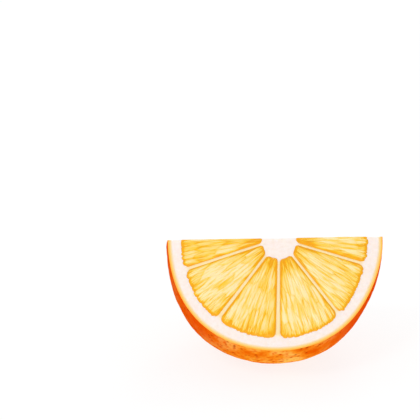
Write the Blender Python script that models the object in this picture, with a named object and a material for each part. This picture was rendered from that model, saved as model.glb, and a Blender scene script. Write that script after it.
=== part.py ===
"""A quarter of an orange: cut across its core, then along it, and lying on its skin.

The wedge is worked out in its own directions. "Across" runs along the straight ridge where the two
cuts meet, "down" runs from the ridge over the front cut face, and "deep" runs along the core, away
from that face. An angle is measured round the core: 0 at the right end of the ridge, 90 degrees at
the bottom of the front face and 180 degrees at the left end of the ridge. Sizes are in millimetres
until place() turns a point into metres.
"""

import math

import bmesh
import bpy
from mathutils import Matrix, Vector

MILLIMETRE = 0.001

# Outline of the skin on the front cut face, as a radius from the core: its mean, then the size of its
# waves that come once, twice and up to six times in a full turn
RIM_WAVES = (40.24, -2.03, -2.21, 0.41, -0.21, 0.26, 0.1)

# Length along the core, and how full the fruit is between its widest girth and its end
BELLY_DEPTH = 5.2
HALF_LENGTH = 36.5
FULLNESS = 2.1

# Small dimple with the blossom scar, at the end of the core
SCAR_RADIUS = 2.6
SCAR_DEPTH = 0.9

# Rind, which is skin and pith together, in waves of the same kind, and the white core
RIND_WAVES = (4.81, 0.08, 0.2, 0.24)
CORE_RADIUS = 6.9
CORE_OVAL = -0.9
CORE_NARROWING = 0.35

# Sides of the six segments, each with its angle in degrees and the membrane's thickness at the core
# and at the skin. The first and last sides lie on the second cut and have no membrane.
FIRST_SIDE = (0.0, 0.0, 0.0)
MEMBRANES = ((19.2, 0.7, 0.8), (55.8, 0.7, 0.8), (92.9, 0.7, 1.4), (127.0, 0.7, 1.1), (161.5, 0.7, 0.9))
LAST_SIDE = (180.0, 0.0, 0.0)

# Flesh inside the rind
FLESH_HALF_LENGTH = 32.5
FLESH_FULLNESS = 2.3
FLESH_END_DEPTH = 37.0
FLESH_END_ROUNDING = 5.0
FLESH_LAST_SECTION = 36.5
OUTER_CORNER = 2.4
INNER_CORNER = 1.3

# Relief of the cut flesh, which bulges out of the cut in strands of juice sacs
EDGE_STEP = 0.15
BULGE = 0.45
BULGE_MARGIN = 3.0
STRAND_RELIEF = 0.35
STRAND_DEGREES = 6.2
TOP_STRAND_DEGREES = 11.0
STRAND_UNEVENNESS = 0.12
SAC_LENGTH = 11.0
SAC_UNEVENNESS = 0.7
GOLDEN_SHARE = 0.618
SCALLOP = 0.6

# Pose on the floor: the front face leans back, and the skin is flat where it rests
LEAN = math.radians(46.0)
FLAT_DEPTH = 0.6

# Fineness of the faceted solid
SKIN_COLUMNS = 60
SKIN_ROWS = 26
POINTS_A_STRAND = 4
REACH_STEPS = 16
DEPTH_STEPS = 15
SMOOTH_BELOW = math.radians(30.0)

PITH, SKIN, FLESH = range(3)
FINISHES = (
    ("orange_pith", (0.95, 0.86, 0.76), 0.6),
    ("orange_skin", (0.93, 0.29, 0.03), 0.4),
    ("orange_flesh", (0.95, 0.66, 0.17), 0.3),
)


def wavy(waves, angle):
    """A mean value with waves round the core."""
    return sum(size * math.cos(times * angle) for times, size in enumerate(waves))


def rim_radius(angle):
    """Distance from the core to the skin on the front face."""
    return wavy(RIM_WAVES, angle)


def flesh_radius(angle):
    """Distance from the core to the outer end of the flesh on the front face."""
    return rim_radius(angle) - wavy(RIND_WAVES, angle)


def core_radius(angle, depth):
    """Half the width of the white core."""
    narrowing = 1 - CORE_NARROWING * depth / FLESH_END_DEPTH
    return (CORE_RADIUS + CORE_OVAL * math.cos(2 * angle)) * narrowing


def girth(depth, half_length, fullness):
    """Size of the cross-section at this depth, against its size on the front face."""

    def size_at(place_along_core):
        share = min(1.0, abs(place_along_core - BELLY_DEPTH) / half_length)
        return (1 - share**fullness) ** (1 / fullness)

    return size_at(depth) / size_at(0)


def membrane_turn(thickness, reach_share, radius):
    """Angle that half a membrane takes up round the core, at this share of the way to the skin."""
    at_core, at_skin = thickness
    return math.asin((at_core + (at_skin - at_core) * reach_share) / 2 / radius)


def corner_drop(distance, corner):
    """How far a rounded corner keeps an end edge back, at this distance from the side."""
    if distance >= corner:
        return 0.0
    return corner - math.sqrt(corner**2 - (corner - distance) ** 2)


def sac_relief(strand_position, length):
    """Relief of the juice sacs: 0 in the groove between two strands, up to 1 on a sac's crest."""
    strand = math.floor(strand_position)
    crest = abs(math.sin(math.pi * strand_position))
    along = math.sin(2 * math.pi * (length / SAC_LENGTH + strand * GOLDEN_SHARE))
    return crest * (1 - SAC_UNEVENNESS * (1 + along) / 2)


def swell(edge):
    """Rise of the flesh from its edge to its full bulge, at this distance from the edge."""
    return math.sin(math.pi / 2 * max(0.0, min(1.0, edge / BULGE_MARGIN)))


def place(across, down, deep):
    """A point of the wedge in the object's own axes, in metres, with the front face upright."""
    return Vector((across, deep, -down)) * MILLIMETRE


def skin_row(row):
    """Points over the skin from the right end of the ridge round to its left end."""
    first_tilt = -math.asin((BELLY_DEPTH / HALF_LENGTH) ** (FULLNESS / 2))
    tilt = first_tilt + (math.pi / 2 - first_tilt) * row / SKIN_ROWS
    along = math.copysign(abs(math.sin(tilt)) ** (2 / FULLNESS), tilt)
    deep = BELLY_DEPTH + HALF_LENGTH * along if row else 0.0
    size = girth(deep, HALF_LENGTH, FULLNESS)
    points = []
    for column in range(SKIN_COLUMNS + 1):
        angle = math.pi * column / SKIN_COLUMNS
        radius = rim_radius(angle) * size
        dimple = SCAR_DEPTH * math.exp(-((radius / SCAR_RADIUS) ** 2))
        down = radius * math.sin(angle) if column < SKIN_COLUMNS else 0.0
        points.append(place(radius * math.cos(angle), down, deep - dimple))
    return points


def add_fruit():
    """The closed quarter of skin, pith and core, with two plain cut faces."""
    shape = bmesh.new()
    rows = [[shape.verts.new(point) for point in skin_row(row)] for row in range(SKIN_ROWS)]
    blossom_end = shape.verts.new(place(0, 0, BELLY_DEPTH + HALF_LENGTH - SCAR_DEPTH))
    for near, far in zip(rows, rows[1:]):
        for column in range(SKIN_COLUMNS):
            corners = (near[column], near[column + 1], far[column + 1], far[column])
            shape.faces.new(corners).material_index = SKIN
    for column in range(SKIN_COLUMNS):
        corners = (rows[-1][column], rows[-1][column + 1], blossom_end)
        shape.faces.new(corners).material_index = SKIN
    front_cut = rows[0]
    top_cut = [row[0] for row in rows] + [blossom_end] + [row[-1] for row in reversed(rows)]
    for outline in (front_cut, top_cut):
        shape.faces.new(outline).material_index = PITH
    return finish_object("orange_wedge", shape)


class Segment:
    """One segment of flesh. Each side is a membrane, or the second cut if that has no membrane."""

    def __init__(self, low_side, high_side):
        low_degrees, *self.low_membrane = low_side
        high_degrees, *self.high_membrane = high_side
        self.low = math.radians(low_degrees)
        self.high = math.radians(high_degrees)
        self.low_is_cut = low_side == FIRST_SIDE
        self.high_is_cut = high_side == LAST_SIDE
        self.strands = round((high_degrees - low_degrees) / STRAND_DEGREES)
        self.columns = self.strands * POINTS_A_STRAND

    def strand_position(self, share):
        """Strands counted from the low side. They are a little uneven in width."""
        return share * self.strands + STRAND_UNEVENNESS * math.sin(4 * math.pi * share)

    def side_distance(self, share, radius):
        """How far a point lies from the nearest membrane."""
        width = (self.high - self.low) * radius
        low = math.inf if self.low_is_cut else share * width
        high = math.inf if self.high_is_cut else (1 - share) * width
        return min(low, high)

    def reach(self, share, depth):
        """Nearest and farthest flesh from the core, at this share of the segment's width."""
        angle = self.low + (self.high - self.low) * share
        outer = flesh_radius(angle)
        outer -= SCALLOP * (1 - sac_relief(self.strand_position(share), outer))
        outer *= girth(depth, FLESH_HALF_LENGTH, FLESH_FULLNESS)
        outer -= corner_drop(self.side_distance(share, outer), OUTER_CORNER)
        inner = core_radius(angle, depth)
        inner += corner_drop(self.side_distance(share, inner), INNER_CORNER)
        past_shoulder = max(0.0, depth - (FLESH_END_DEPTH - FLESH_END_ROUNDING))
        kept = math.sqrt(1 - (past_shoulder / FLESH_END_ROUNDING) ** 2)
        middle = (inner + outer) / 2
        half_length = (outer - inner) / 2 * kept
        return middle - half_length, middle + half_length

    def section_point(self, share, reach_share, depth):
        """Across and down of a point in the cross-section at this depth."""
        inner, outer = self.reach(share, depth)
        radius = inner + (outer - inner) * reach_share
        low = self.low + membrane_turn(self.low_membrane, reach_share, radius)
        high = self.high - membrane_turn(self.high_membrane, reach_share, radius)
        angle = low + (high - low) * share
        return radius * math.cos(angle), radius * math.sin(angle)

    def front_relief(self, share, reach_share):
        """How far the flesh stands out of the front face."""
        inner, outer = self.reach(share, 0)
        length = outer - inner
        radius = inner + length * reach_share
        width = (self.high - self.low) * radius
        edge = min(share * width, (1 - share) * width, reach_share * length, (1 - reach_share) * length)
        sacs = sac_relief(self.strand_position(share), radius)
        return EDGE_STEP + swell(edge) * (BULGE + STRAND_RELIEF * sacs)

    def top_relief(self, reach_share, depth):
        """How far the flesh stands out of the second cut, in strands that fan from the middle."""
        inner, outer = self.reach(0 if self.low_is_cut else 1, depth)
        length = outer - inner
        across = inner + length * reach_share
        edge = min(reach_share * length, (1 - reach_share) * length, depth, FLESH_END_DEPTH - depth)
        fan = math.degrees(math.atan2(depth, across)) / TOP_STRAND_DEGREES
        sacs = sac_relief(fan, math.hypot(depth, across))
        return EDGE_STEP + swell(edge) * (BULGE + STRAND_RELIEF * sacs)

    def edge_loop(self):
        """The column and step of each point round the edge of the segment's grid, in order."""
        low_side = [(0, step) for step in range(REACH_STEPS + 1)]
        outer_end = [(column, REACH_STEPS) for column in range(1, self.columns + 1)]
        high_side = [(self.columns, step) for step in range(REACH_STEPS - 1, -1, -1)]
        inner_end = [(column, 0) for column in range(self.columns - 1, 0, -1)]
        return low_side + outer_end + high_side + inner_end

    def ring(self, depth):
        """Points round one cross-section. A side on the second cut carries that cut's relief."""
        points = []
        for column, step in self.edge_loop():
            reach_share = step / REACH_STEPS
            across, down = self.section_point(column / self.columns, reach_share, depth)
            on_low_cut = self.low_is_cut and column == 0
            on_high_cut = self.high_is_cut and column == self.columns
            if on_low_cut or on_high_cut:
                down = -self.top_relief(reach_share, depth)
            points.append(place(across, down, depth if depth else -EDGE_STEP))
        return points

    def front_point(self, column, step):
        """A point of the relief inside the edge of the front face."""
        share = column / self.columns
        reach_share = step / REACH_STEPS
        across, down = self.section_point(share, reach_share, 0)
        return place(across, down, -self.front_relief(share, reach_share))


def add_segment(name, segment):
    """One closed segment, from its bulging front face to its far end near the blossom end."""
    shape = bmesh.new()
    depths = [FLESH_LAST_SECTION * step / DEPTH_STEPS for step in range(DEPTH_STEPS + 1)]
    rings = [[shape.verts.new(point) for point in segment.ring(depth)] for depth in depths]
    for near, far in zip(rings, rings[1:]):
        for here in range(len(near)):
            after = (here + 1) % len(near)
            shape.faces.new((near[here], near[after], far[after], far[here]))
    shape.faces.new(rings[-1])

    front = dict(zip(segment.edge_loop(), rings[0]))
    for column in range(1, segment.columns):
        for step in range(1, REACH_STEPS):
            front[column, step] = shape.verts.new(segment.front_point(column, step))
    for column in range(segment.columns):
        for step in range(REACH_STEPS):
            corners = ((column, step), (column + 1, step), (column + 1, step + 1), (column, step + 1))
            shape.faces.new([front[corner] for corner in corners])
    for face in shape.faces:
        face.material_index = FLESH
    return finish_object(name, shape)


def add_flesh():
    """All six segments, in a collection of their own."""
    sides = (FIRST_SIDE, *MEMBRANES, LAST_SIDE)
    flesh = bpy.data.collections.new("flesh")
    bpy.context.scene.collection.children.link(flesh)
    for number, (low_side, high_side) in enumerate(zip(sides, sides[1:]), start=1):
        made = add_segment(f"segment_{number}", Segment(low_side, high_side))
        bpy.context.scene.collection.objects.unlink(made)
        flesh.objects.link(made)
    return flesh


def finish_object(name, shape):
    """An object from a closed bmesh, with every finish in its slots."""
    bmesh.ops.recalc_face_normals(shape, faces=shape.faces)
    mesh = bpy.data.meshes.new(name)
    shape.to_mesh(mesh)
    shape.free()
    for finish in FINISHES:
        mesh.materials.append(material(*finish))
    made = bpy.data.objects.new(name, mesh)
    bpy.context.scene.collection.objects.link(made)
    return made


def material(name, colour, roughness):
    """A Principled material, made once and shared."""
    made = bpy.data.materials.get(name)
    if made is None:
        made = bpy.data.materials.new(name)
        made.use_nodes = True
        surface = made.node_tree.nodes["Principled BSDF"]
        surface.inputs["Base Color"].default_value = (*colour, 1)
        surface.inputs["Roughness"].default_value = roughness
        surface.inputs["Metallic"].default_value = 0
    return made


def join_flesh(fruit, flesh):
    """Makes one solid of the fruit and its segments, and removes the loose segments."""
    union = fruit.modifiers.new("Segments", "BOOLEAN")
    union.operation = "UNION"
    union.operand_type = "COLLECTION"
    union.collection = flesh
    union.solver = "EXACT"
    evaluated = fruit.evaluated_get(bpy.context.evaluated_depsgraph_get())
    joined = bpy.data.meshes.new_from_object(evaluated)
    fruit.modifiers.clear()
    fruit.data = joined
    for segment in list(flesh.objects):
        bpy.data.objects.remove(segment)
    bpy.data.collections.remove(flesh)


def rest_on_skin(fruit):
    """Leans the wedge back on its skin, over the origin, and flattens the spot where it rests."""
    lean = Matrix.Rotation(-LEAN, 3, "X")
    points = [lean @ vertex.co for vertex in fruit.data.vertices]
    low = Vector(min(point[axis] for point in points) for axis in range(3))
    high = Vector(max(point[axis] for point in points) for axis in range(3))
    middle = (low + high) / 2
    fruit.rotation_euler = (-LEAN, 0, 0)
    fruit.location = (-middle.x, -middle.y, -low.z - FLAT_DEPTH * MILLIMETRE)

    floor_point = lean.inverted() @ -fruit.location
    straight_down = lean.inverted() @ Vector((0, 0, -1))
    shape = bmesh.new()
    shape.from_mesh(fruit.data)
    everything = shape.verts[:] + shape.edges[:] + shape.faces[:]
    cut = bmesh.ops.bisect_plane(
        shape, geom=everything, plane_co=floor_point, plane_no=straight_down, clear_outer=True
    )
    rim = [part for part in cut["geom_cut"] if isinstance(part, bmesh.types.BMEdge)]
    for face in bmesh.ops.edgeloop_fill(shape, edges=rim)["faces"]:
        face.material_index = SKIN
    bmesh.ops.recalc_face_normals(shape, faces=shape.faces)
    shape.to_mesh(fruit.data)
    shape.free()


def main():
    for old in list(bpy.data.objects):
        bpy.data.objects.remove(old)
    fruit = add_fruit()
    join_flesh(fruit, add_flesh())
    rest_on_skin(fruit)
    fruit.data.shade_smooth()
    fruit.data.set_sharp_from_angle(angle=SMOOTH_BELOW)


main()
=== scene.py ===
"""The looks of an orange wedge: skin, pith and six segments of flesh, worked out as dense meshes.

The wedge is worked out in its own directions, in millimetres. "Across" runs along the straight ridge
where the two cuts meet, "down" runs from the ridge over the front cut face, and "deep" runs along
the core, away from that face. An angle is measured round the core: 0 at the right end of the ridge,
half a turn at its left end. Placement turns these points into metres in the frame.
"""

import math

import bmesh
import bpy
import numpy as np
from mathutils import Matrix, Vector, noise
from mathutils.kdtree import KDTree


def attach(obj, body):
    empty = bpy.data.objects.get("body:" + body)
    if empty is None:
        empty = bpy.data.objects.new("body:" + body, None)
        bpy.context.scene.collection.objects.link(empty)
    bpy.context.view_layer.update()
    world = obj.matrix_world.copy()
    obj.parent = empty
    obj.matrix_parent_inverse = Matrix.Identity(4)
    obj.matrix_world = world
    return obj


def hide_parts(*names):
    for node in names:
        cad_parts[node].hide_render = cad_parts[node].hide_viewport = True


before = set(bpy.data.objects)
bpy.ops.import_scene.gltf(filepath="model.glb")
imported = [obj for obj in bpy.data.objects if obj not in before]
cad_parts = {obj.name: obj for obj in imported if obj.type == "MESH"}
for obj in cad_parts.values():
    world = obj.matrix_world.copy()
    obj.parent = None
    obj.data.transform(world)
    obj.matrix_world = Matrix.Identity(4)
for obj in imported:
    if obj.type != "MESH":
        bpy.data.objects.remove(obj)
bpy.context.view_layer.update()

NODE = "orange_wedge"
MILLIMETRE = 0.001

# Outline of the skin on the front cut face, as a radius from the core: its mean, then the size of its
# waves that come once, twice and up to six times in a full turn
RIM_WAVES = (40.24, -2.03, -2.21, 0.41, -0.21, 0.26, 0.1)

# Length along the core, and how full the fruit is between its widest girth and its end
BELLY_DEPTH = 5.2
HALF_LENGTH = 36.5
FULLNESS = 2.1

# Dimple with the blossom scar, at the end of the core
SCAR_RADIUS = 2.6
SCAR_DEPTH = 0.9
SCAR_KEPT_TO_END = 6
SCAR_MARK_RADIUS = 1.3

# Rind, which is skin and pith together, in waves of the same kind, and the white core
RIND_WAVES = (4.81, 0.08, 0.2, 0.24)
SKIN_THICKNESS = 1.1
CORE_RADIUS = 6.9
CORE_OVAL = -0.9
CORE_NARROWING = 0.35

# Sides of the six segments, each with its angle in degrees and the membrane's thickness at the core
# and at the skin. The first and last sides lie on the second cut and have no membrane.
FIRST_SIDE = (0.0, 0.0, 0.0)
MEMBRANES = ((19.2, 0.7, 0.8), (55.8, 0.7, 0.8), (92.9, 0.7, 1.4), (127.0, 0.7, 1.1), (161.5, 0.7, 0.9))
LAST_SIDE = (180.0, 0.0, 0.0)

# How far the inner end of each segment turns outwards from its low side to its high side, and how much
# deeper its colour is than the mean
TIP_SLANTS = (0.0, 0.1, 0.0, 0.9, -0.2, 0.0)
TONES = (0.1, 0.0, 0.0, 0.12, -0.04, 0.16)

# Flesh inside the rind
FLESH_HALF_LENGTH = 32.5
FLESH_FULLNESS = 2.3
FLESH_END_DEPTH = 37.0
FLESH_END_ROUNDING = 5.0
FLESH_LAST_SECTION = 36.5
OUTER_CORNER = 2.4
INNER_CORNER = 1.3

# Pose on the floor
LEAN = math.radians(46.0)
FLAT_DEPTH = 0.6

# Camera, from the photo's frame of 420 pixels a side
PHOTO_SIDE = 420
PHOTO_CORE = (279.0, 238.5)
MILLIMETRES_A_PIXEL = 0.352
CAMERA_DISTANCE = 0.9
CAMERA_ELEVATION = math.radians(22.3)
CAMERA_AZIMUTH = math.radians(-2.45)
SENSOR_WIDTH = 36.0


def wavy(waves, angle):
    """A mean value with waves round the core."""
    return sum(size * np.cos(times * angle) for times, size in enumerate(waves))


def rim_radius(angle):
    """Distance from the core to the skin on the front face."""
    return wavy(RIM_WAVES, angle)


def flesh_radius(angle):
    """Distance from the core to the outer end of the flesh on the front face."""
    return rim_radius(angle) - wavy(RIND_WAVES, angle)


def core_radius(angle, depth):
    """Half the width of the white core."""
    narrowing = 1 - CORE_NARROWING * depth / FLESH_END_DEPTH
    return (CORE_RADIUS + CORE_OVAL * np.cos(2 * angle)) * narrowing


def girth(depth, half_length, fullness):
    """Size of the cross-section at this depth, against its size on the front face."""

    def size_at(place_along_core):
        share = np.minimum(1.0, np.abs(place_along_core - BELLY_DEPTH) / half_length)
        return (1 - share**fullness) ** (1 / fullness)

    return size_at(depth) / size_at(0)


def membrane_turn(thickness, step, radius):
    """Angle that half a membrane takes up round the core, at this share of the way to the skin."""
    at_core, at_skin = thickness
    return np.arcsin((at_core + (at_skin - at_core) * step) / 2 / radius)


def smooth(value):
    """A gentle step from 0 to 1."""
    clear = np.clip(value, 0, 1)
    return clear * clear * (3 - 2 * clear)


def share_between(value, start, end):
    """A gentle step from 0 to 1 between two values."""
    return smooth((value - start) / (end - start))


def rounded(value):
    """A quarter circle's rise from 0 to 1, steep at first."""
    return np.sqrt(1 - (1 - np.clip(value, 0, 1)) ** 2)


def corner_drop(distance, corner):
    """How far a rounded corner keeps an end edge back, at this distance from the side."""
    return corner * (1 - rounded(distance / corner))


def dimpled(radius, depth):
    """Depth of a point near the core, drawn in towards the blossom scar."""
    near_end = (depth / (BELLY_DEPTH + HALF_LENGTH)) ** SCAR_KEPT_TO_END
    return depth - SCAR_DEPTH * np.exp(-((radius / SCAR_RADIUS) ** 2)) * near_end


def section_of(row_share, inset):
    """Size and depth of a cross-section of the fruit, from its front cut (0) to its end (1)."""
    half_length = HALF_LENGTH - inset
    first_tilt = -math.asin((BELLY_DEPTH / half_length) ** (FULLNESS / 2))
    tilt = first_tilt + (math.pi / 2 - first_tilt) * row_share
    along = np.sign(tilt) * np.abs(np.sin(tilt)) ** (2 / FULLNESS)
    depth = np.where(row_share > 0, BELLY_DEPTH + half_length * along, 0.0)
    return girth(depth, half_length, FULLNESS), depth


def fruit_points(angle, row_share, inset):
    """Points of the fruit's surface, or of one this far inside it."""
    size, depth = section_of(row_share, inset)
    radius = (rim_radius(angle) - inset) * size
    down = np.where(angle < math.pi, radius * np.sin(angle), 0.0)
    return np.stack(np.broadcast_arrays(radius * np.cos(angle), down, dimpled(radius, depth)), -1)


def leaned(points):
    """Wedge directions turned into the frame's, still in millimetres and round the core point."""
    across, down, deep = np.moveaxis(np.asarray(points, float), -1, 0)
    back = deep * math.cos(LEAN) - down * math.sin(LEAN)
    up = -deep * math.sin(LEAN) - down * math.cos(LEAN)
    return np.stack([across, back, up], -1)


def find_placement():
    """Shift from the core point to the frame: the box over the origin, the skin a little in the floor."""
    angle, share = np.meshgrid(np.linspace(0, math.pi, 181), np.linspace(0, 1, 121))
    points = leaned(fruit_points(angle, share, 0.0)).reshape(-1, 3)
    middle = (points.min(0) + points.max(0)) / 2
    return np.array([-middle[0], -middle[1], -points[:, 2].min() - FLAT_DEPTH])


PLACEMENT = find_placement()


def in_frame(points):
    """Points in metres in the frame, with the skin flat where it meets the floor."""
    placed = leaned(points) + PLACEMENT
    placed[..., 2] = np.maximum(placed[..., 2], 0.0)
    return placed * MILLIMETRE


def noise_at(points, size, seed=0.0):
    """Smooth noise from about -1 to 1, with bumps of this size in millimetres."""
    flat = np.asarray(points, float).reshape(-1, 3) / size + seed
    values = [noise.noise(Vector(point)) for point in flat]
    return np.array(values).reshape(np.shape(points)[:-1])


def perimeter(rows, columns, pointed=False):
    """Row, column and place round the edge of a grid. Each side adds 1 to the place.

    A pointed grid's last row is a single point.
    """
    right, end = columns - 1, rows - 1
    near_side = [(0, column, column / right) for column in range(right)]
    right_side = [(row, right, 1 + row / end) for row in range(end)]
    far_side = [(end, column, 3 - column / right) for column in range(right, 0, -1)]
    left_side = [(row, 0, 4 - row / end) for row in range(end, 0, -1)]
    if pointed:
        far_side = far_side[:1]
        left_side = left_side[1:]
    row, column, place = zip(*near_side, *right_side, *far_side, *left_side)
    return np.array(row), np.array(column), np.array(place)


# Fineness of the coarse sheets that close the skin and the pith inside, and where shading breaks
CLOSING_COLUMNS = 40
CLOSING_ROWS = 24
SHARP_ANGLE = math.radians(62)


class Shape:
    """Points, their values and faces of one piece, gathered before its mesh is made."""

    def __init__(self):
        self.points = []
        self.values = {}
        self.faces = []
        self.count = 0

    def add(self, points, **values):
        """Adds an array of points, and gives their numbers in the same arrangement."""
        points = np.asarray(points, float)
        arrangement = points.shape[:-1]
        numbers = self.count + np.arange(points[..., 0].size).reshape(arrangement)
        self.points.append(points.reshape(-1, 3))
        for name, value in values.items():
            spread = np.broadcast_to(value, arrangement)
            self.values.setdefault(name, []).append((numbers.ravel(), spread.ravel()))
        self.count += numbers.size
        return numbers

    def add_quads(self, first, second, third, fourth):
        """Faces between four arrays of point numbers. Where points repeat, they are triangles."""
        for corners in zip(first.ravel(), second.ravel(), third.ravel(), fourth.ravel()):
            different = list(dict.fromkeys(int(corner) for corner in corners))
            if len(different) > 2:
                self.faces.append(different)

    def add_grid(self, numbers):
        """Faces over a grid of points."""
        self.add_quads(numbers[:-1, :-1], numbers[:-1, 1:], numbers[1:, 1:], numbers[1:, :-1])

    def join_rings(self, ring, next_ring):
        """Faces between two closed loops of as many points."""
        self.add_quads(ring, np.roll(ring, -1), np.roll(next_ring, -1), next_ring)

    def zip_rings(self, ring, place, next_ring, next_place):
        """Triangles between two closed loops of any number of points, matched by their places."""
        here = [*place, place[0] + 4]
        there = [*next_place, next_place[0] + 4]
        ring = [*map(int, ring), int(ring[0])]
        next_ring = [*map(int, next_ring), int(next_ring[0])]
        i = j = 0
        while i < len(place) or j < len(next_place):
            if j == len(next_place) or (i < len(place) and here[i + 1] <= there[j + 1]):
                self.faces.append([ring[i], ring[i + 1], next_ring[j]])
                i += 1
            else:
                self.faces.append([ring[i], next_ring[j + 1], next_ring[j]])
                j += 1

    def close_with_curve(self, ring, place, inset):
        """Closes the shape with a coarse sheet along the fruit's surface, this far inside it."""
        angles = np.linspace(0, math.pi, CLOSING_COLUMNS + 1)[1:-1]
        shares = np.linspace(0, 1, CLOSING_ROWS + 1)[1:-1]
        angle, share = np.meshgrid(angles, shares)
        numbers = self.add(fruit_points(angle, share, inset))
        self.add_grid(numbers)
        row, column, edge_place = perimeter(*numbers.shape)
        self.zip_rings(ring, place, numbers[row, column], edge_place)

    def finish(self, name, look):
        """Makes the piece's mesh, with its values as attributes, and hands it to the frame."""
        mesh = bpy.data.meshes.new(name)
        mesh.from_pydata(in_frame(np.concatenate(self.points)).tolist(), [], self.faces)
        shape = bmesh.new()
        shape.from_mesh(mesh)
        bmesh.ops.recalc_face_normals(shape, faces=shape.faces)
        shape.to_mesh(mesh)
        shape.free()
        for value_name, parts in self.values.items():
            filled = np.zeros(self.count, np.float32)
            for numbers, values in parts:
                filled[numbers] = values
            attribute = mesh.attributes.new(value_name, "FLOAT", "POINT")
            attribute.data.foreach_set("value", filled)
        mesh.shade_smooth()
        mesh.set_sharp_from_angle(angle=SHARP_ANGLE)
        mesh.materials.append(look)
        piece = bpy.data.objects.new(name, mesh)
        bpy.context.scene.collection.objects.link(piece)
        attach(piece, "root")
        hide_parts(NODE)


# Skin: pores, pebbling and the cut edge

SKIN_SEED = 11
PORES_ON_WHOLE_FRUIT = 11000
PORE_JITTER = 0.35
PORE_STRENGTHS = (0.35, 1.0)
PORE_RADIUS = 0.42
PORE_DEPTH = 0.19
DARK_PORE_SHARE = 0.12
DARK_PORE_STRENGTHS = (0.5, 1.0)
DARK_PORE_RADIUS = 0.48

# Painted shade: the skin is redder at the left and right ends, where its sides turn from the light. From how
# far off the middle, how strong on the right and on the left, and over which depths it fades to the share
# that is kept
SIDE_SHADE_MIDDLE = -3.0
SIDE_SHADE_START = 8.0
SIDE_SHADE_WIDTH = 20.0
SIDE_SHADE_SHARES = (0.95, 0.85)
SIDE_SHADE_FADE = (6.0, 20.0)
SIDE_SHADE_KEPT_DEEP = 0.3

# How far the patches of colour calm down towards the end of the fruit, and over which depths
CALM_SHARE = 0.6
CALM_FADE = (8.0, 22.0)

# Relief of the skin, which fades in over a margin along the cuts
UNDULATION = 0.16
UNDULATION_SIZE = 9.0
PEBBLING = 0.08
PEBBLE_SIZE = 2.2
RELIEF_MARGIN = 0.8

# Rounded cut edge: rings of points this far inside the skin, and this far out of the cuts
RIM_INSETS = (0.14, 0.4, 0.75, 1.0, 1.3)
RIM_HEIGHTS = (0.04, 0.05, 0.045, 0.03, -0.06)

# Fineness of the skin's mesh
SKIN_COLUMNS = 380
SKIN_ROWS = 200


def find_pores(rng):
    """Directions of evenly scattered pores from the middle of the fruit, and which are dark."""
    number = np.arange(PORES_ON_WHOLE_FRUIT) + 0.5
    height = 1 - 2 * number / PORES_ON_WHOLE_FRUIT
    turn = number * math.pi * (1 + math.sqrt(5))
    level = np.sqrt(1 - height**2)
    directions = np.stack([level * np.cos(turn), level * np.sin(turn), height], -1)
    spacing = math.sqrt(4 * math.pi / PORES_ON_WHOLE_FRUIT)
    directions += rng.normal(0, PORE_JITTER * spacing, directions.shape)
    directions /= np.linalg.norm(directions, axis=1, keepdims=True)
    strength = rng.uniform(*PORE_STRENGTHS, len(directions))
    is_dark = rng.random(len(directions)) < DARK_PORE_SHARE
    dark = np.where(is_dark, rng.uniform(*DARK_PORE_STRENGTHS, len(directions)), 0)
    return directions, strength, dark


def pore_values(points, rng):
    """Depth of the pores at each skin point, and how dark the skin is there."""
    directions, strength, dark = find_pores(rng)
    tree = KDTree(len(directions))
    for number, direction in enumerate(directions):
        tree.insert(direction, number)
    tree.balance()
    from_middle = points - np.array([0.0, 0.0, BELLY_DEPTH])
    reach = np.linalg.norm(from_middle, axis=-1)
    pit = np.zeros(reach.shape)
    darkness = np.zeros(reach.shape)
    for place, vector in np.ndenumerate(reach):
        direction = from_middle[place] / vector
        for _, number, gap in tree.find_n(direction, 2):
            distance = gap * vector
            pit[place] += strength[number] * math.exp(-((distance / PORE_RADIUS) ** 2))
            darkness[place] += dark[number] * math.exp(-((distance / DARK_PORE_RADIUS) ** 4))
    return pit, np.minimum(darkness, 1)


def outward_normals(points):
    """Unit normals of a grid of points, pointing away from the fruit's middle."""
    over = np.gradient(points, axis=1)
    along = np.gradient(points, axis=0)
    normal = np.cross(over, along)
    length = np.linalg.norm(normal, axis=-1, keepdims=True)
    normal = normal / np.maximum(length, 1e-9)
    from_middle = points - np.array([0.0, 0.0, BELLY_DEPTH])
    facing = np.sign((normal * from_middle).sum(-1, keepdims=True))
    return normal * facing


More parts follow.
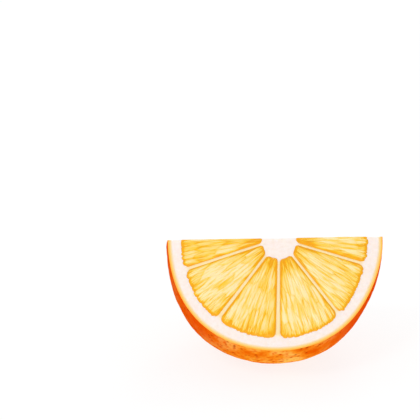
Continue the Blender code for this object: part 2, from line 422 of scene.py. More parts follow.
def make_skin(rng):
    """The orange skin: a thin shell whose cut edge shows round both faces."""
    shape = Shape()
    angle, share = np.meshgrid(np.linspace(0, math.pi, SKIN_COLUMNS + 1), np.linspace(0, 1, SKIN_ROWS + 1))
    points = fruit_points(angle, share, 0.0)
    pit, darkness = pore_values(points, rng)
    relief = UNDULATION * noise_at(points, UNDULATION_SIZE)
    relief += PEBBLING * noise_at(points, PEBBLE_SIZE, seed=40)
    relief -= PORE_DEPTH * pit
    inside_edges = np.clip(np.minimum(points[..., 1], points[..., 2]) / RELIEF_MARGIN, 0, 1)
    scar = np.exp(-((np.hypot(points[..., 0], points[..., 1]) / SCAR_MARK_RADIUS) ** 2)) * share**4
    points = points + outward_normals(points) * (relief * inside_edges)[..., None]
    points[-1] = points[-2].mean(0)
    points[-1, :, 1] = 0.0

    # Painted shade, redder towards both ends, which fades with depth to a share that is kept
    off_middle = np.abs(points[..., 0] - SIDE_SHADE_MIDDLE) - SIDE_SHADE_START
    side_shade = smooth(off_middle / SIDE_SHADE_WIDTH) * np.where(points[..., 0] > SIDE_SHADE_MIDDLE, *SIDE_SHADE_SHARES)
    side_shade = side_shade * (1 - (1 - SIDE_SHADE_KEPT_DEEP) * share_between(points[..., 2], *SIDE_SHADE_FADE))
    calm = CALM_SHARE * share_between(points[..., 2], *CALM_FADE)
    values = {"pore": darkness, "pit": pit, "scar": scar, "side_shade": side_shade, "calm": calm}
    numbers = shape.add(points[:-1], depth=0.0, **{name: value[:-1] for name, value in values.items()})
    end = shape.add(points[-1, 0], depth=0.0, pore=0.0, scar=1.0)
    numbers = np.vstack([numbers, np.full(SKIN_COLUMNS + 1, int(end))])
    shape.add_grid(numbers)

    row, column, place = perimeter(*numbers.shape, pointed=True)
    ring = numbers[row, column]
    for inset, height in zip(RIM_INSETS, RIM_HEIGHTS):
        edge = fruit_points(angle[row, column], share[row, column], inset)
        edge[row == 0, 2] -= height
        edge[(column == 0) | (column == SKIN_COLUMNS), 1] -= height
        next_ring = shape.add(edge, depth=inset)
        shape.join_rings(ring, next_ring)
        ring = next_ring
    shape.close_with_curve(ring, place, RIM_INSETS[-1])
    shape.finish("skin", skin_look())


# Pith: both cut faces under the flesh, with the membranes and the core

PITH_INSET = 1.04
PITH_RELIEF = 0.05
PITH_BUMP_SIZE = 1.6
PITH_RIDGE_MARGIN = 1.5
MEMBRANE_RISE = 0.17
MEMBRANE_SLOPE = 0.32
MEMBRANE_FADE = 2.0

# Fineness of the pith's mesh: round the front face and outwards on it, and rows of the second cut
PITH_ANGLES = 420
PITH_RINGS = 120
PITH_ROWS = 130


def skin_distance(points):
    """How far points of the cut faces lie from the skin's outer edge."""
    around = fruit_points(np.linspace(0, math.pi, 721), 0.0, 0.0)
    rows = np.linspace(0, 1, 361)
    edge = np.concatenate([around, fruit_points(0.0, rows, 0.0), fruit_points(math.pi, rows, 0.0)])
    tree = KDTree(len(edge))
    for number, point in enumerate(edge):
        tree.insert(point, number)
    tree.balance()
    flat = points.reshape(-1, 3)
    return np.array([tree.find(point)[2] for point in flat]).reshape(points.shape[:-1])


def pith_height(points, ridge_distance):
    """Spongy unevenness of a cut face, which fades out at the ridge."""
    height = PITH_RELIEF * noise_at(points, PITH_BUMP_SIZE, seed=7)
    height += 0.5 * PITH_RELIEF * noise_at(points, 0.4 * PITH_BUMP_SIZE, seed=19)
    return height * smooth(ridge_distance / PITH_RIDGE_MARGIN)


def between_core_and_rind(angle, radius):
    """1 where the front face lies between the core and the rind, and 0 on both of them."""
    from_core = smooth((radius - core_radius(angle, 0.0)) / MEMBRANE_FADE)
    from_rind = smooth((flesh_radius(angle) - radius) / MEMBRANE_FADE)
    return from_core * from_rind


def membrane_height(angle, radius):
    """How far the membranes stand out of the front face."""
    height = np.zeros(np.broadcast(angle, radius).shape)
    for degrees, *_ in MEMBRANES:
        off_axis = radius * np.sin(angle - math.radians(degrees))
        height += np.exp(-((off_axis / MEMBRANE_SLOPE) ** 2))
    return MEMBRANE_RISE * height


def make_pith():
    """The white pith with its membranes and core: two cut faces, and a back under the skin."""
    shape = Shape()
    angle = np.linspace(0, math.pi, PITH_ANGLES + 1)
    share = np.linspace(0, 1, PITH_RINGS + 1)[1:, None]
    radius = share * (rim_radius(angle) - PITH_INSET)
    down = np.where(angle < math.pi, radius * np.sin(angle), 0.0)
    front = np.stack([radius * np.cos(angle), down, np.zeros_like(radius)], -1)
    front_depth = skin_distance(front)
    thin = between_core_and_rind(angle, radius)
    front[..., 2] -= pith_height(front, front[..., 1]) + membrane_height(angle, radius) * thin
    centre = shape.add(np.zeros(3), depth=rim_radius(0.0))
    rings = shape.add(front, depth=front_depth, thin=thin)
    rings = np.vstack([np.full(PITH_ANGLES + 1, int(centre)), rings])
    shape.add_grid(rings)

    side_shares = np.linspace(-1, 1, 2 * PITH_RINGS + 1)
    row_shares = np.linspace(0, 1, PITH_ROWS + 1)[1:-1]
    size, depth = section_of(row_shares, PITH_INSET)
    side_angle = np.where(side_shares < 0, math.pi, 0.0)
    across = side_shares * (rim_radius(side_angle) - PITH_INSET) * size[:, None]
    deep = dimpled(np.abs(across), depth[:, None])
    top = np.stack([across, np.zeros_like(across), deep], -1)
    top_depth = skin_distance(top)
    top[..., 1] -= pith_height(top, top[..., 2])
    rows = shape.add(top, depth=top_depth)
    end = shape.add(fruit_points(np.array(0.0), np.array(1.0), PITH_INSET), depth=PITH_INSET)
    ridge = np.concatenate([rings[:0:-1, -1], rings[:, 0]])
    rows = np.vstack([ridge, rows, np.full(ridge.shape, int(end))])
    shape.add_grid(rows)

    front_edge = rings[-1, :-1]
    ring = np.concatenate([front_edge, rows[:-1, 0], rows[-1:, 0], rows[-2:0:-1, -1]])
    place = np.concatenate(
        [
            np.arange(PITH_ANGLES) / PITH_ANGLES,
            1 + np.arange(PITH_ROWS) / PITH_ROWS,
            [2.0],
            3 + np.arange(1, PITH_ROWS) / PITH_ROWS,
        ]
    )
    shape.close_with_curve(ring, place, PITH_INSET)
    shape.finish("pith", pith_look())


# Flesh: juice sacs in strands, which bulge a little out of the cuts

FLESH_SEED = 100

# Sacs: their size and scatter where they are spread out, how they close up towards the core, and relief
SAC_WIDTH = 1.9
SAC_STRETCH = 4.4
SAC_JITTER = 0.30
SAC_SPREAD_RADIUS = 34.0
SAC_CONVERGING = 0.45
SAC_HEIGHT = 0.26
SAC_SHOULDER = 0.62
SAC_UNEVENNESS = 0.12
STRAND_SHIFT = 40.0

# On the second cut the sacs fan out from a point this deep on the core, about this middle direction
FAN_DEPTH = 4.0
FAN_MIDDLE = math.pi / 6

# Notches between the outer ends of the sacs
NOTCH_DEPTH = 0.6
NOTCH_WIDTH = 0.55
NOTCH_UNEVENNESS = 0.5
MEAN_NOTCH = 0.3

# The flesh's edge, which starts just under the cut, and its bulge over it
SUNK_EDGE = 0.03
SHOULDER_WIDTH = 0.7
SHOULDER_HEIGHT = 0.15
BULGE = 0.38
BULGE_FADE = 1.2
BULGE_MARGIN = 3.6
WAVINESS = 0.08
WAVE_SIZE = 3.0
WAVE_SHIFT = 3.0
ROUND_END_SHARE = 0.3

# The flesh lies low along the ridge, where both cuts meet
RIDGE_HEIGHT = 0.10
RIDGE_EDGE = 0.6
RIDGE_MARGIN = 1.6

# Under the cut: the edge's skirt, and the flat inside with its depth, shares and numbers of points
SKIRT_DEPTH = 0.5
SLAB_DEPTH = 3.0
SLAB_END_DEPTH = 34.0
SLAB_SIDES = (0.1, 0.9)
SLAB_ENDS = (0.06, 0.94)
SLAB_COUNTS = (10, 12)
SLAB_DEEP_COUNT = 14

# Fineness of the flesh's mesh: steps outwards, and millimetres across the front and down the second cut
FLESH_REACH_STEPS = 165
CLOSER_AT_ENDS = 0.1
FLESH_STEP_ACROSS = 0.17
FEWEST_STEPS_ACROSS = 40
TOP_STEP = 0.24
NOTCH_STEPS = 400


class Sacs:
    """Long juice sacs, scattered in strands over one cut surface of a segment.

    They are cells in a plane: x runs over the strands and y along them, pressed together so that a
    cell is as long as wide there.
    """

    def __init__(self, half_width, rng):
        rows = round(SAC_SPREAD_RADIUS / SAC_STRETCH / SAC_WIDTH) + 3
        columns = round(half_width / SAC_WIDTH) + 2
        row, column = np.meshgrid(np.arange(-1, rows), np.arange(-columns, columns + 1), indexing="ij")
        x = (column + 0.5 * (row % 2)) * SAC_WIDTH
        y = row * SAC_WIDTH
        jitter = rng.normal(0, SAC_JITTER * SAC_WIDTH, (2, *x.shape))
        self.seeds = np.stack([x + jitter[0], y + jitter[1]], -1).reshape(-1, 2)
        self.chance = rng.random(len(self.seeds))
        self.tree = KDTree(len(self.seeds))
        for number, seed in enumerate(self.seeds):
            self.tree.insert((*seed, 0.0), number)
        self.tree.balance()

    @staticmethod
    def plane(turn, radius):
        """Place in the plane of cells, from an angle off the segment's middle and a radius."""
        spread = (np.maximum(radius, 0.1) / SAC_SPREAD_RADIUS) ** SAC_CONVERGING
        return turn * SAC_SPREAD_RADIUS * spread, radius / SAC_STRETCH

    def notch(self, x, y):
        """Depth of the notches at places along the flesh's outer edge."""
        edge, chance = self.values(x, y)
        depth = NOTCH_DEPTH * (1 - NOTCH_UNEVENNESS * chance)
        return depth * (1 - rounded(edge / NOTCH_WIDTH)) + NOTCH_DEPTH * NOTCH_UNEVENNESS * chance

    def values(self, x, y):
        """For each place: distance to the cell's edge, and the cell's own chance value."""
        edge = np.zeros(x.shape)
        chance = np.zeros(x.shape)
        for place, across in np.ndenumerate(x):
            (_, number, near), (_, _, far) = self.tree.find_n((across, y[place], 0.0), 2)
            edge[place] = (far - near) / 2
            chance[place] = self.chance[number]
        return edge, chance


class Segment:
    """One segment of flesh. Each side is a membrane, or the second cut if that has no membrane."""

    def __init__(self, number, low_side, high_side, rng):
        self.number = number
        low_degrees, *self.low_membrane = low_side
        high_degrees, *self.high_membrane = high_side
        self.low = math.radians(low_degrees)
        self.high = math.radians(high_degrees)
        self.middle = (self.low + self.high) / 2
        self.low_is_cut = low_side == FIRST_SIDE
        self.high_is_cut = high_side == LAST_SIDE
        self.is_end = self.low_is_cut or self.high_is_cut
        self.slant = TIP_SLANTS[number - 1]
        self.front_sacs = Sacs((self.high - self.low) / 2 * SAC_SPREAD_RADIUS, rng)
        self.top_sacs = Sacs(math.pi / 2 * SAC_SPREAD_RADIUS, rng)
        self.make_notches()

    def make_notches(self):
        """Notches between the sacs' outer ends, along the edge towards the pith on both cuts."""
        self.notch_share = np.linspace(0, 1, NOTCH_STEPS)
        angle = self.low + (self.high - self.low) * self.notch_share
        x, y = self.front_sacs.plane(angle - self.middle, flesh_radius(angle) - NOTCH_DEPTH)
        self.front_notch = self.front_sacs.notch(x, y)
        self.notch_depth = np.linspace(0, FLESH_LAST_SECTION, NOTCH_STEPS)
        across = flesh_radius(self.cut_angle()) * girth(self.notch_depth, FLESH_HALF_LENGTH, FLESH_FULLNESS)
        x, y = self.top_plane(across - NOTCH_DEPTH, self.notch_depth)
        start = self.front_notch[0 if self.low_is_cut else -1]
        near = smooth(self.notch_depth / RIDGE_MARGIN)
        self.top_notch = start + (self.top_sacs.notch(x, y) - start) * near

    def cut_angle(self):
        """Angle of the side that lies on the second cut."""
        return self.low if self.low_is_cut else self.high

    def top_plane(self, across, depth):
        """Place in the plane of sacs for a point of the second cut, where they fan from the middle."""
        fan = np.arctan2(depth - FAN_DEPTH, across)
        return self.top_sacs.plane(fan - FAN_MIDDLE, np.hypot(depth - FAN_DEPTH, across))

    def notch(self, share, depth):
        """How far the flesh stays short of its full radius at its outer edge."""
        front = np.interp(share, self.notch_share, self.front_notch)
        if not self.is_end:
            return front
        return np.where(depth > 0, np.interp(depth, self.notch_depth, self.top_notch), front)

    def side_distance(self, share, radius):
        """How far a point lies from the nearest membrane."""
        width = (self.high - self.low) * radius
        low = np.inf if self.low_is_cut else share * width
        high = np.inf if self.high_is_cut else (1 - share) * width
        return np.minimum(low, high)

    def reach(self, share, depth):
        """Nearest and farthest flesh from the core, at this share of the segment's width."""
        angle = self.low + (self.high - self.low) * share
        outer = flesh_radius(angle) * girth(depth, FLESH_HALF_LENGTH, FLESH_FULLNESS)
        outer = outer + MEAN_NOTCH - self.notch(share, depth)
        outer = outer - corner_drop(self.side_distance(share, outer), OUTER_CORNER)
        inner = core_radius(angle, depth) + self.slant * (share - 0.5)
        inner = inner + corner_drop(self.side_distance(share, inner), INNER_CORNER)
        past_shoulder = np.maximum(0.0, depth - (FLESH_END_DEPTH - FLESH_END_ROUNDING))
        kept = np.sqrt(1 - (past_shoulder / FLESH_END_ROUNDING) ** 2)
        middle = (inner + outer) / 2
        half_length = (outer - inner) / 2 * kept
        return middle - half_length, middle + half_length

    def polar(self, share, step, depth):
        """Angle and radius of a point, with the membranes' thickness taken off its sides."""
        inner, outer = self.reach(share, depth)
        radius = inner + (outer - inner) * step
        low = self.low + membrane_turn(self.low_membrane, step, radius)
        high = self.high - membrane_turn(self.high_membrane, step, radius)
        return low + (high - low) * share, radius

    def front_grid(self):
        """Points and values of the flesh on the front face, in columns from low to high side."""
        widest = (self.high - self.low) * SAC_SPREAD_RADIUS
        count = max(FEWEST_STEPS_ACROSS, round(widest / FLESH_STEP_ACROSS))
        share, step = np.meshgrid(np.linspace(0, 1, count + 1), self.steps(), indexing="ij")
        angle, radius = self.polar(share, step, 0.0)
        inner, outer = self.reach(share, 0.0)
        side = self.side_distance(share, radius)
        end = np.minimum(radius - inner, outer - radius)
        edge = np.minimum(side, end)
        down = radius * np.sin(angle)
        ridge = down if self.is_end else np.full(radius.shape, np.inf)
        x, y = self.front_sacs.plane(angle - self.middle, radius)
        height, values = self.relief(self.front_sacs, x, y, edge, ridge, outer - radius, radius - inner)
        return np.stack([radius * np.cos(angle), down, -height], -1), values

    def top_grid(self):
        """Points and values of the flesh on the second cut, in columns that go deeper."""
        share = 0.0 if self.low_is_cut else 1.0
        count = round(FLESH_LAST_SECTION / TOP_STEP)
        depths = np.linspace(0, FLESH_LAST_SECTION, count + 1)[1:]
        depth, step = np.meshgrid(depths, self.steps(), indexing="ij")
        inner, outer = self.reach(np.full(depth.shape, share), depth)
        radius = inner + (outer - inner) * step
        edge = np.minimum(radius - inner, outer - radius)
        # Towards the deep end the flesh slopes down to that end too
        edge = np.minimum(edge, FLESH_LAST_SECTION - depth + ROUND_END_SHARE * edge)
        x, y = self.top_plane(radius, depth)
        height, values = self.relief(self.top_sacs, x, y, edge, depth, outer - radius, radius - inner)
        across = radius if self.low_is_cut else -radius
        return np.stack([across, -height, depth], -1), values

    @staticmethod
    def steps():
        """Shares of the way from the core outwards, closer together at both ends."""
        even = np.linspace(0, 1, FLESH_REACH_STEPS + 1)
        return even - CLOSER_AT_ENDS * np.sin(2 * math.pi * even) / (2 * math.pi)

    def relief(self, sacs, x, y, edge, ridge, from_rim, from_core):
        """Height of the flesh over the cut, and the values that colour it."""
        sac_edge, chance = sacs.values(x, y)
        crest = rounded(sac_edge / SAC_SHOULDER)
        layer = np.full(x.shape, WAVE_SHIFT * self.number)
        wave = noise_at(np.stack([x / WAVE_SIZE, y / WAVE_SIZE, layer], -1), 1.0)
        top = BULGE * np.sin(math.pi / 2 * np.clip(edge / BULGE_MARGIN, 0, 1)) + WAVINESS * wave
        top = top + crest * (SAC_HEIGHT + SAC_UNEVENNESS * (chance - 0.5))
        shoulder = rounded(edge / SHOULDER_WIDTH)
        height = -SUNK_EDGE + (SUNK_EDGE + SHOULDER_HEIGHT) * shoulder + top * smooth(edge / BULGE_FADE)
        at_ridge = RIDGE_HEIGHT * smooth(edge / RIDGE_EDGE)
        near = smooth(ridge / RIDGE_MARGIN)
        height = at_ridge + (height - at_ridge) * near
        values = {
            "tone": np.full(x.shape, TONES[self.number - 1]),
            "edge": edge,
            "rim": from_rim,
            "tip": from_core,
            "crest": crest,
            "chance": chance,
            "strand_x": x + STRAND_SHIFT * self.number,
            "strand_y": y,
        }
        return height, values

    def surface(self):
        """The whole cut surface of the segment as one grid, bent over the ridge if it is an end one."""
        points, values = self.front_grid()
        if not self.is_end:
            return points, values
        top_points, top_values = self.top_grid()
        if self.low_is_cut:
            points[0, :, 1] = points[0, :, 2]
            top_points = top_points[::-1]
            top_values = {name: value[::-1] for name, value in top_values.items()}
            parts = (top_points, points), (top_values, values)
        else:
            points[-1, :, 1] = points[-1, :, 2]
            parts = (points, top_points), (values, top_values)
        joined = {name: np.concatenate([part[name] for part in parts[1]]) for name in values}
        return np.concatenate(parts[0]), joined

    def sunk(self, points, depth):
        """Points moved this far under the cut surface that they lie on."""
        moved = points.copy()
        on_top = points[..., 2] > RIDGE_HEIGHT
        at_ridge = (np.abs(points[..., 2]) <= RIDGE_HEIGHT) & (points[..., 1] <= 0)
        moved[..., 1] = np.where(on_top | at_ridge, np.maximum(points[..., 1], 0) + depth, points[..., 1])
        moved[..., 2] = np.where(on_top, points[..., 2], depth)
        return moved

    def inside_points(self, share, step, depth):
        """Points inside the segment, by their share of its width and of the way outwards."""
        angle, radius = self.polar(share, step, depth)
        return np.stack([radius * np.cos(angle), radius * np.sin(angle), depth], -1)

    def inside_grid(self):
        """Coarse points inside the segment, under its cut surface, in the same order of columns.

        An end segment's columns start halfway between its cut and its membrane, and those under the
        second cut keep to that middle.
        """
        columns, rows = SLAB_COUNTS
        steps = np.linspace(*SLAB_ENDS, rows)
        first = 0.5 if self.low_is_cut else SLAB_SIDES[0]
        last = 0.5 if self.high_is_cut else SLAB_SIDES[1]
        share, step = np.meshgrid(np.linspace(first, last, columns), steps, indexing="ij")
        front = self.inside_points(share, step, np.full(share.shape, SLAB_DEPTH))
        if not self.is_end:
            return front
        depths = np.linspace(SLAB_DEPTH, SLAB_END_DEPTH, SLAB_DEEP_COUNT)[1:]
        depth, step = np.meshgrid(depths, steps, indexing="ij")
        top = self.inside_points(np.full(depth.shape, 0.5), step, depth)
        return np.concatenate([top[::-1], front] if self.low_is_cut else [front, top])

    def make(self, look):
        """Makes the closed piece: cut surface, a short skirt under its edge, and a coarse inside."""
        shape = Shape()
        points, values = self.surface()
        numbers = shape.add(points, **values)
        shape.add_grid(numbers)
        row, column, place = perimeter(*numbers.shape)
        skirt_values = {name: value[row, column] for name, value in values.items()}
        skirt = shape.add(self.sunk(points[row, column], SKIRT_DEPTH), **skirt_values)
        shape.join_rings(numbers[row, column], skirt)
        inside = shape.add(self.inside_grid())
        shape.add_grid(inside)
        inside_row, inside_column, inside_place = perimeter(*inside.shape)
        shape.zip_rings(skirt, place, inside[inside_row, inside_column], inside_place)
        shape.finish(f"segment_{self.number}", look)


def make_flesh():
    """All six segments, in one look."""
    look = flesh_look()
    sides = (FIRST_SIDE, *MEMBRANES, LAST_SIDE)
    for number, (low_side, high_side) in enumerate(zip(sides, sides[1:]), start=1):
        rng = np.random.default_rng(FLESH_SEED + number)
        Segment(number, low_side, high_side, rng).make(look)


# Looks


def linear(red, green, blue):
    """A colour given as on a screen, 0 to 255, in the linear values that a shader takes."""

    def channel(value):
        share = value / 255
        return ((share + 0.055) / 1.055) ** 2.4 if share > 0.04045 else share / 12.92

    return channel(red), channel(green), channel(blue)


class Look:
    """A Principled material with short calls for the nodes that feed it."""

    def __init__(self, name):
        self.material = bpy.data.materials.new(name)
        self.material.use_nodes = True
        self.tree = self.material.node_tree
        self.shader = self.tree.nodes["Principled BSDF"]

    def set(self, **values):
        """Values on the shader's own sockets. An underscore stands for a space."""
        for name, value in values.items():
            self.shader.inputs[name.replace("_", " ")].default_value = value

    def link(self, source, target):
        """A link from an output to an input, or to the shader's input of this name."""
        if isinstance(target, str):
            target = self.shader.inputs[target]
        self.tree.links.new(source, target)

    def value(self, name):
        """One of the mesh's own values."""
        node = self.tree.nodes.new("ShaderNodeAttribute")
        node.attribute_name = name
        return node.outputs["Fac"]

    def place(self, scale):
        """Place on the object, in units of this many millimetres."""
        coordinates = self.tree.nodes.new("ShaderNodeTexCoord")
        node = self.tree.nodes.new("ShaderNodeVectorMath")
        node.operation = "SCALE"
        node.inputs["Scale"].default_value = 1 / (scale * MILLIMETRE)
        self.link(coordinates.outputs["Object"], node.inputs[0])
        return node.outputs["Vector"]

    def feed(self, sockets, values):
        """Gives each input its plain number, or a link from the output that feeds it."""
        for socket, value in zip(sockets, values):
            if isinstance(value, (int, float)):
                socket.default_value = value
            else:
                self.link(value, socket)

    def combine(self, x, y, z=0.0):
        """A vector made of three values."""
        node = self.tree.nodes.new("ShaderNodeCombineXYZ")
        self.feed(node.inputs, (x, y, z))
        return node.outputs["Vector"]

    def noise(self, place, detail, roughness=0.5):
        """Noise from 0 to 1, with bumps of the place's own unit."""
        node = self.tree.nodes.new("ShaderNodeTexNoise")
        node.inputs["Scale"].default_value = 1.0
        node.inputs["Detail"].default_value = detail
        node.inputs["Roughness"].default_value = roughness
        self.link(place, node.inputs["Vector"])
        return node.outputs["Fac"]

    def math(self, operation, first, second, clamp=False):
        """Arithmetic on two values."""
        node = self.tree.nodes.new("ShaderNodeMath")
        node.operation = operation
        node.use_clamp = clamp
        self.feed(node.inputs, (first, second))
        return node.outputs["Value"]

    def ramp(self, value, low, high, start=0.0, end=1.0, interpolation="SMOOTHSTEP"):
        """A value carried from one range to another, and held there."""
        node = self.tree.nodes.new("ShaderNodeMapRange")
        node.interpolation_type = interpolation
        self.link(value, node.inputs["Value"])
        for name, number in (("From Min", low), ("From Max", high), ("To Min", start), ("To Max", end)):
            node.inputs[name].default_value = number
        return node.outputs["Result"]

    def colours(self, value, *stops):
        """A colour read off a scale of (place, colour) stops."""
        node = self.tree.nodes.new("ShaderNodeValToRGB")
        elements = node.color_ramp.elements
        while len(elements) < len(stops):
            elements.new(0.5)
        for element, (position, colour) in zip(elements, stops):
            element.position = position
            element.color = (*linear(*colour), 1)
        self.link(value, node.inputs["Fac"])
        return node.outputs["Color"]

    def mix(self, share, first, second):
        """A mix of two colours. The second may be a plain colour."""
        node = self.tree.nodes.new("ShaderNodeMix")
        node.data_type = "RGBA"
        self.link(share, node.inputs["Factor"])
        for name, colour in (("A", first), ("B", second)):
            socket = [item for item in node.inputs if item.name == name and item.type == "RGBA"][0]
            if isinstance(colour, tuple):
                socket.default_value = (*linear(*colour), 1)
            else:
                self.link(colour, socket)
        return [item for item in node.outputs if item.type == "RGBA"][0]

    def bump(self, height, distance, under=None):
        """A bumped normal, this many millimetres high."""
        node = self.tree.nodes.new("ShaderNodeBump")
        node.inputs["Strength"].default_value = 1.0
        node.inputs["Distance"].default_value = distance * MILLIMETRE
        self.link(height, node.inputs["Height"])
        if under is not None:
            self.link(under, node.inputs["Normal"])
        return node.outputs["Normal"]


# Colours as on a screen, 0 to 255
SKIN_ORANGE = (247, 142, 28)
SKIN_LIGHT = (254, 187, 84)
SKIN_RED = (232, 94, 0)
SKIN_PAINTED_SHADE = (226, 66, 0)
PORE_BROWN = (170, 34, 0)
SCAR_BROWN = (120, 78, 40)
ZEST_YELLOW = (252, 190, 84)
ZEST_CREAM = (250, 214, 146)
PITH_WHITE = (247, 235, 230)
PITH_SHADE = (242, 227, 217)
MEMBRANE_CREAM = (252, 222, 150)
FLESH_PALE = (250, 227, 170)
FLESH_YELLOW = (248, 211, 106)
FLESH_AMBER = (245, 192, 14)
FLESH_DEEP = (239, 166, 0)


def skin_look():
    """Orange skin, deeper in colour in its pores, with painted shade in its pits and at its left and right
    ends.
    Its cut edge turns from orange to cream.

    It has no gloss, because the white surroundings would turn its sides pink.
    """
    look = Look("orange_skin")
    patches = look.noise(look.place(8.0), detail=4.0)
    outside = look.colours(patches, (0.33, SKIN_RED), (0.47, SKIN_ORANGE), (0.61, SKIN_LIGHT))
    outside = look.mix(look.value("calm"), outside, SKIN_ORANGE)
    mottling = look.ramp(look.noise(look.place(1.8), detail=3.0), 0.5, 0.68, 0.0, 0.7)
    outside = look.mix(mottling, outside, SKIN_RED)
    # Painted shade: redder towards the left and right ends
    outside = look.mix(look.value("side_shade"), outside, SKIN_PAINTED_SHADE)
    # Painted shade: darker orange down in the pits
    pit_shade = look.ramp(look.value("pit"), 0.1, 0.9, 0.0, 0.6)
    outside = look.mix(pit_shade, outside, SKIN_RED)
    outside = look.mix(look.math("MULTIPLY", look.value("pore"), 0.8), outside, PORE_BROWN)
    outside = look.mix(look.value("scar"), outside, SCAR_BROWN)
    depth = look.math("DIVIDE", look.value("depth"), SKIN_THICKNESS)
    edge = look.colours(depth, (0.0, SKIN_ORANGE), (0.16, ZEST_YELLOW), (0.4, ZEST_YELLOW), (0.8, ZEST_CREAM))
    look.link(look.mix(look.ramp(depth, 0.02, 0.14), outside, edge), "Base Color")
    look.link(look.bump(look.noise(look.place(0.5), detail=3.0), 0.04), "Normal")
    look.set(
        Roughness=0.45,
        Specular_IOR_Level=0.0,
        Subsurface_Weight=0.12,
        Subsurface_Radius=(1.0, 0.35, 0.1),
        Subsurface_Scale=0.8 * MILLIMETRE,
    )
    return look.material


def pith_look():
    """Dull white pith, cream towards the skin."""
    look = Look("orange_pith")
    grain = look.noise(look.place(1.3), detail=4.0, roughness=0.6)
    white = look.colours(grain, (0.3, PITH_SHADE), (0.65, PITH_WHITE))
    membranes = look.math("MULTIPLY", look.value("thin"), 0.75)
    white = look.mix(membranes, white, MEMBRANE_CREAM)
    near_skin = look.ramp(look.value("depth"), SKIN_THICKNESS - 0.3, SKIN_THICKNESS + 0.8, 1.0, 0.0)
    look.link(look.mix(near_skin, white, ZEST_CREAM), "Base Color")
    fine = look.bump(look.noise(look.place(0.35), detail=3.0), 0.03)
    look.link(look.bump(grain, 0.06, under=fine), "Normal")
    look.set(
        Roughness=0.62,
        Specular_IOR_Level=0.3,
        Subsurface_Weight=0.3,
        Subsurface_Radius=(1.0, 0.8, 0.6),
        Subsurface_Scale=1.0 * MILLIMETRE,
    )
    return look.material


def flesh_look():
    """Moist flesh: pale sacs with amber streaks, deeper in colour along every edge, with painted shade in the
    grooves between the sacs.
    """
    look = Look("orange_flesh")

    def strands(across, along, detail, layer=0.0):
        """Noise drawn out along the sacs: how many bumps to a unit of their plane, over and along them."""
        x = look.math("MULTIPLY", look.value("strand_x"), across)
        y = look.math("MULTIPLY", look.value("strand_y"), along)
        return look.noise(look.combine(x, y, layer), detail=detail)

    fibres = strands(4.2, 1.0, detail=3.0)
    streaks = strands(1.1, 0.55, detail=2.0)
    dashes = strands(1.7, 1.3, detail=1.0, layer=9.0)
    near_rim = look.ramp(look.value("rim"), 0.0, 7.0, 1.0, 0.0, interpolation="LINEAR")
    flame_start = look.math("SUBTRACT", 0.62, look.math("MULTIPLY", near_rim, 0.3))
    flames = look.math("MULTIPLY", look.math("SUBTRACT", fibres, flame_start), 4.0, clamp=True)
    amber_shares = (
        look.value("tone"),
        look.ramp(streaks, 0.42, 0.68, 0.0, 0.5),
        look.ramp(fibres, 0.52, 0.72, 0.0, 0.4),
        look.math("MULTIPLY", look.math("MULTIPLY", flames, near_rim), 0.75),
        look.ramp(dashes, 0.69, 0.76, 0.0, 0.35),
        look.ramp(look.value("edge"), 0.1, 1.4, 0.78, 0.0),
        look.ramp(look.value("tip"), 0.0, 10.0, 0.6, 0.0),
        # Painted shade: deeper colour down in the grooves between the sacs, off their crests
        look.ramp(look.value("crest"), 0.35, 0.95, 0.22, 0.0),
        look.ramp(look.value("chance"), 0.0, 1.0, -0.2, 0.2),
    )
    amber = amber_shares[0]
    for share in amber_shares[1:]:
        amber = look.math("ADD", amber, share)
    colour = look.colours(
        look.math("MAXIMUM", amber, 0.0),
        (0.0, FLESH_PALE),
        (0.4, FLESH_YELLOW),
        (0.8, FLESH_AMBER),
        (1.0, FLESH_DEEP),
    )
    look.link(colour, "Base Color")
    look.link(look.bump(fibres, 0.06), "Normal")
    look.set(
        Roughness=0.3,
        Specular_IOR_Level=0.18,
        Subsurface_Weight=0.18,
        Subsurface_Radius=(1.0, 0.6, 0.2),
        Subsurface_Scale=0.7 * MILLIMETRE,
        Coat_Weight=0.16,
        Coat_Roughness=0.1,
    )
    return look.material


# Stage, lights and camera

FLOOR_SIDE = 6.0
FLOOR_GAP = 0.05
FLOOR_COLOUR = (0.18, 0.18, 0.18)
FLOOR_GLOW = 0.82
SKY_STRENGTH = 0.78


def make_floor():
    """A plain pale floor, just under the wedge. It glows like a light table, so shadows stay faint."""
    mesh = bpy.data.meshes.new("floor")
    half = FLOOR_SIDE / 2
    low = -FLOOR_GAP * MILLIMETRE
    corners = [(x * half, y * half, low) for x, y in ((-1, -1), (1, -1), (1, 1), (-1, 1))]
    mesh.from_pydata(corners, [], [(0, 1, 2, 3)])
    look = Look("floor")
    look.set(
        Base_Color=(*FLOOR_COLOUR, 1),
        Roughness=0.9,
        Specular_IOR_Level=0.1,
        Emission_Color=(1, 1, 1, 1),
        Emission_Strength=FLOOR_GLOW,
    )
    mesh.materials.append(look.material)
    floor = bpy.data.objects.new("floor", mesh)
    bpy.context.scene.collection.objects.link(floor)


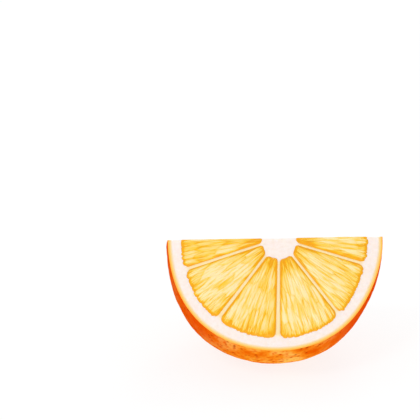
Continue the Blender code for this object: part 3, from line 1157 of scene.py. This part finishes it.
def add_light(name, place, side, power):
    """A square soft light, aimed at the wedge."""
    data = bpy.data.lights.new(name, "AREA")
    data.shape = "SQUARE"
    data.size = side
    data.energy = power
    light = bpy.data.objects.new(name, data)
    light.location = place
    light.rotation_euler = (-Vector(place)).to_track_quat("-Z", "Y").to_euler()
    bpy.context.scene.collection.objects.link(light)


def make_lights():
    """A soft sky, a key light from the upper left, a low fill for the skin, and a light from behind."""
    world = bpy.data.worlds.new("sky")
    world.use_nodes = True
    background = world.node_tree.nodes["Background"]
    background.inputs["Color"].default_value = (1, 1, 1, 1)
    background.inputs["Strength"].default_value = SKY_STRENGTH
    bpy.context.scene.world = world
    add_light("key", (-0.45, -0.55, 0.75), 0.25, 2.0)
    add_light("fill", (0.1, -0.9, 0.12), 0.4, 1.5)
    add_light("back", (0.3, 0.75, 0.7), 0.4, 2.0)


def make_camera():
    """The camera that sees the wedge where the photo shows it."""
    elevation, azimuth = CAMERA_ELEVATION, CAMERA_AZIMUTH
    back = Vector(
        (
            math.sin(azimuth) * math.cos(elevation),
            -math.cos(azimuth) * math.cos(elevation),
            math.sin(elevation),
        )
    )
    right = Vector((math.cos(azimuth), math.sin(azimuth), 0))
    up = back.cross(right)
    off_right = (PHOTO_SIDE / 2 - PHOTO_CORE[0]) * MILLIMETRES_A_PIXEL * MILLIMETRE
    off_up = (PHOTO_CORE[1] - PHOTO_SIDE / 2) * MILLIMETRES_A_PIXEL * MILLIMETRE
    core = Vector(in_frame(np.zeros(3)))
    location = core + right * off_right + up * off_up + back * CAMERA_DISTANCE
    turn = Matrix((right, up, back)).transposed().to_4x4()
    data = bpy.data.cameras.new("camera")
    data.sensor_width = SENSOR_WIDTH
    frame_width = PHOTO_SIDE * MILLIMETRES_A_PIXEL * MILLIMETRE
    data.lens = SENSOR_WIDTH * CAMERA_DISTANCE / frame_width
    camera = bpy.data.objects.new("camera", data)
    camera.matrix_world = Matrix.Translation(location) @ turn
    bpy.context.scene.collection.objects.link(camera)
    bpy.context.scene.camera = camera


make_camera()
make_skin(np.random.default_rng(SKIN_SEED))
make_pith()
make_flesh()
make_floor()
make_lights()
bpy.context.scene.view_settings.view_transform = "Standard"
bpy.context.scene.view_settings.look = "None"
